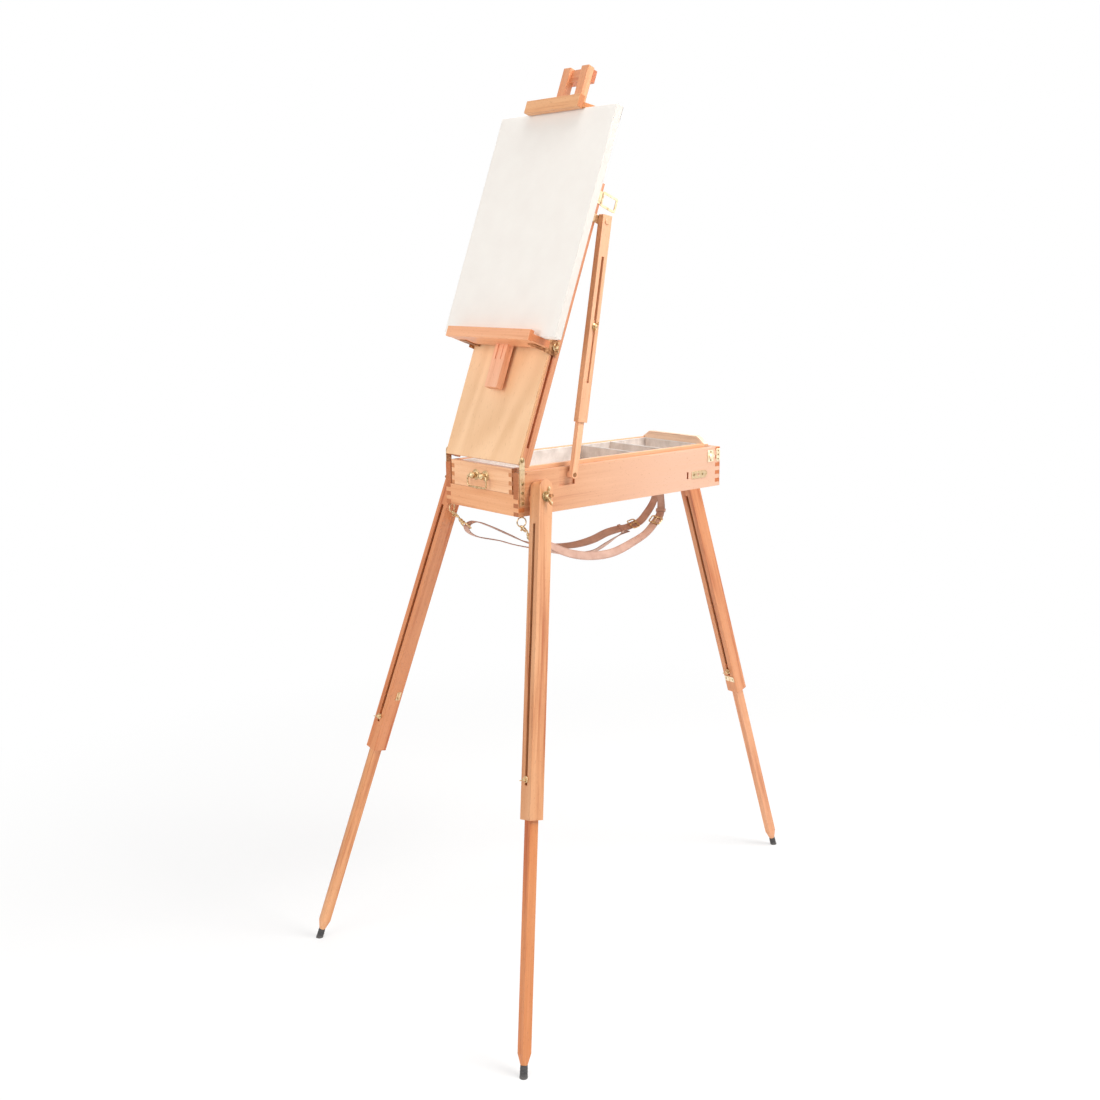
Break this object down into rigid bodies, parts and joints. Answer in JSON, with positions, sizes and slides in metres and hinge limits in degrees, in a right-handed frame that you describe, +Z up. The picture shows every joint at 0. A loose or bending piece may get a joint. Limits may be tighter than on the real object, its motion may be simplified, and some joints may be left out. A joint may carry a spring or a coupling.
{
  "type": "half-box sketching easel",
  "caption": "Half-box artist easel of beech with telescoping tripod legs, a drawer with a metal tray, a tilting lid on a stay, canvas ledge, mast and carrying straps.",
  "frame": {"origin": "on the floor, under the middle of the extents of the three feet", "axes": "+X to the painter's right, +Y from the painter to the back, +Z up"},
  "size_m": [0.6384, 1.0126, 1.6218],
  "materials": {
    "beech": "oiled steamed beech, fine short grain",
    "plywood": "sanded and lacquered ply",
    "stretcher_pine": "bare softwood",
    "brass": "brass-plated steel, polished",
    "tray_metal": "folded sheet, dull",
    "leather": "natural tan, matt",
    "rubber": "matt",
    "canvas": "primed, fine weave"
  },
  "bodies": {
    "box": {"side_wall_right": "beech", "side_wall_left": "beech", "front_rail": "beech", "rear_wall": "beech", "drawer_runners": "beech", "hinge_straps": "brass", "box_screws": "brass", "side_latches": "brass", "side_catches": "brass", "leg_blocks": "beech", "pivot_bolts": "brass", "strap_metal": "brass", "strap_right": "leather", "strap_left": "leather"},
    "drawer": {"drawer_front": "beech", "drawer_sides": "beech", "drawer_back": "beech", "drawer_bottom": "plywood", "tray_liner": "tray_metal", "pull_posts": "brass"},
    "bail": {"pull_bail": "brass"},
    "lid": {"lid_rail_right": "beech", "lid_rail_left": "beech", "lid_panel": "plywood", "lid_cross_rails": "beech", "lid_hasps": "brass", "stay_plate": "brass"},
    "ledge": {"ledge_floor": "beech", "ledge_lip": "beech", "ledge_brackets": "brass", "mast_tongue": "beech", "canvas_stretcher": "stretcher_pine", "canvas_cloth": "canvas"},
    "ledge_knob_right": {"ledge_knob_right": "brass"},
    "ledge_knob_left": {"ledge_knob_left": "brass"},
    "mast": {"mast_strips": "beech", "mast_crossbars": "beech"},
    "holder": {"holder_board": "beech", "holder_base": "beech"},
    "holder_knob": {"holder_knob": "brass"},
    "stay_stick": {"stay_stick": "beech"},
    "stay_outer": {"stay_outer": "beech"},
    "stay_knob": {"stay_knob": "brass"},
    "leg_right_upper": {"leg_right_upper": "beech", "leg_right_brass": "brass"},
    "leg_right_stick": {"leg_right_stick": "beech", "leg_right_tip": "rubber"},
    "leg_right_knob": {"leg_right_knob": "brass"},
    "leg_right_wing": {"leg_right_wing": "brass"},
    "leg_left_upper": {"leg_left_upper": "beech", "leg_left_brass": "brass"},
    "leg_left_stick": {"leg_left_stick": "beech", "leg_left_tip": "rubber"},
    "leg_left_knob": {"leg_left_knob": "brass"},
    "leg_left_wing": {"leg_left_wing": "brass"},
    "leg_rear_upper": {"leg_rear_upper": "beech"},
    "leg_rear_stick": {"leg_rear_stick": "beech", "leg_rear_tip": "rubber"},
    "leg_rear_knob": {"leg_rear_knob": "brass"},
    "leg_rear_nut": {"leg_rear_nut": "brass"}
  },
  "joints": [
    {"name": "drawer_slide", "type": "slide", "parent": "box", "child": "drawer", "axis": [0, -1, 0], "range_m": [0, 0.3]},
    {"name": "bail_swing", "type": "hinge", "parent": "drawer", "child": "bail", "pos_m": [0, -0.33011, 0.92976], "axis": [-1, 0, 0], "range_deg": [0, 150]},
    {"name": "lid_tilt", "type": "hinge", "parent": "box", "child": "lid", "pos_m": [0, -0.31311, 0.9645], "axis": [-1, 0, 0], "range_deg": [0, 69.5]},
    {"name": "ledge_slide", "type": "slide", "parent": "lid", "child": "ledge", "axis": [0, 0.3502, 0.9367], "range_m": [-0.1, 0.18]},
    {"name": "mast_slide", "type": "slide", "parent": "ledge", "child": "mast", "axis": [0, 0.3502, 0.9367], "range_m": [0, 0.05]},
    {"name": "holder_slide", "type": "slide", "parent": "mast", "child": "holder", "axis": [0, 0.3502, 0.9367], "range_m": [0, 0.05]},
    {"name": "ledge_knob_right_turn", "type": "hinge", "parent": "ledge", "child": "ledge_knob_right", "pos_m": [0.104, -0.23826, 1.14897], "axis": [1, 0, 0], "continuous": true},
    {"name": "ledge_knob_left_turn", "type": "hinge", "parent": "ledge", "child": "ledge_knob_left", "pos_m": [-0.104, -0.23826, 1.14897], "axis": [1, 0, 0], "continuous": true},
    {"name": "holder_knob_turn", "type": "hinge", "parent": "holder", "child": "holder_knob", "pos_m": [0, -0.09629, 1.53212], "axis": [0, -0.9367, 0.3502], "continuous": true},
    {"name": "stay_swing", "type": "hinge", "parent": "box", "child": "stay_stick", "pos_m": [0.105, -0.20211, 0.93], "axis": [-1, 0, 0], "range_deg": [0, 80.45]},
    {"name": "stay_slide", "type": "slide", "parent": "stay_stick", "child": "stay_outer", "axis": [0, -0.1683, -0.9857], "range_m": [0, 0.11231]},
    {"name": "stay_knob_turn", "type": "hinge", "parent": "stay_stick", "child": "stay_knob", "pos_m": [0.115, -0.15919, 1.18136], "axis": [1, 0, 0], "continuous": true},
    {"name": "leg_right_fold", "type": "hinge", "parent": "box", "child": "leg_right_upper", "pos_m": [0.12, -0.28611, 0.902], "axis": [0.9781, 0, 0.2082], "range_deg": [0, 103]},
    {"name": "leg_right_extend", "type": "slide", "parent": "leg_right_upper", "child": "leg_right_stick", "axis": [-0.2029, 0.225, 0.953], "range_m": [0, 0.385]},
    {"name": "leg_right_knob_turn", "type": "hinge", "parent": "leg_right_stick", "child": "leg_right_knob", "pos_m": [0.21455, -0.40844, 0.45783], "axis": [0.0469, 0.9743, -0.2201], "continuous": true},
    {"name": "leg_right_wing_turn", "type": "hinge", "parent": "box", "child": "leg_right_wing", "pos_m": [0.13638, -0.28611, 0.90549], "axis": [0.9781, 0, 0.2082], "continuous": true},
    {"name": "leg_left_fold", "type": "hinge", "parent": "box", "child": "leg_left_upper", "pos_m": [-0.12, -0.28611, 0.902], "axis": [0.9781, 0, -0.2082], "range_deg": [0, 103]},
    {"name": "leg_left_extend", "type": "slide", "parent": "leg_left_upper", "child": "leg_left_stick", "axis": [0.2029, 0.225, 0.953], "range_m": [0, 0.385]},
    {"name": "leg_left_knob_turn", "type": "hinge", "parent": "leg_left_stick", "child": "leg_left_knob", "pos_m": [-0.21455, -0.40844, 0.45783], "axis": [-0.0469, 0.9743, -0.2201], "continuous": true},
    {"name": "leg_left_wing_turn", "type": "hinge", "parent": "box", "child": "leg_left_wing", "pos_m": [-0.13638, -0.28611, 0.90549], "axis": [0.9781, 0, -0.2082], "continuous": true},
    {"name": "leg_rear_fold", "type": "hinge", "parent": "box", "child": "leg_rear_upper", "pos_m": [0, 0.19539, 0.881], "axis": [-1, 0, 0], "range_deg": [0, 105.8]},
    {"name": "leg_rear_extend", "type": "slide", "parent": "leg_rear_upper", "child": "leg_rear_stick", "axis": [0, -0.3257, 0.9455], "range_m": [0, 0.385]},
    {"name": "leg_rear_knob_turn", "type": "hinge", "parent": "leg_rear_stick", "child": "leg_rear_knob", "pos_m": [0, 0.32915, 0.44055], "axis": [0, 0.9455, 0.3257], "continuous": true},
    {"name": "leg_rear_nut_turn", "type": "hinge", "parent": "box", "child": "leg_rear_nut", "pos_m": [0.027, 0.19539, 0.881], "axis": [1, 0, 0], "continuous": true}
  ],
  "couplings": [
    {"joint": "stay_swing", "follows": "lid_tilt", "ratio": 1.1568},
    {"joint": "stay_slide", "follows": "lid_tilt", "m_per_rad": 0.092425}
  ]
}
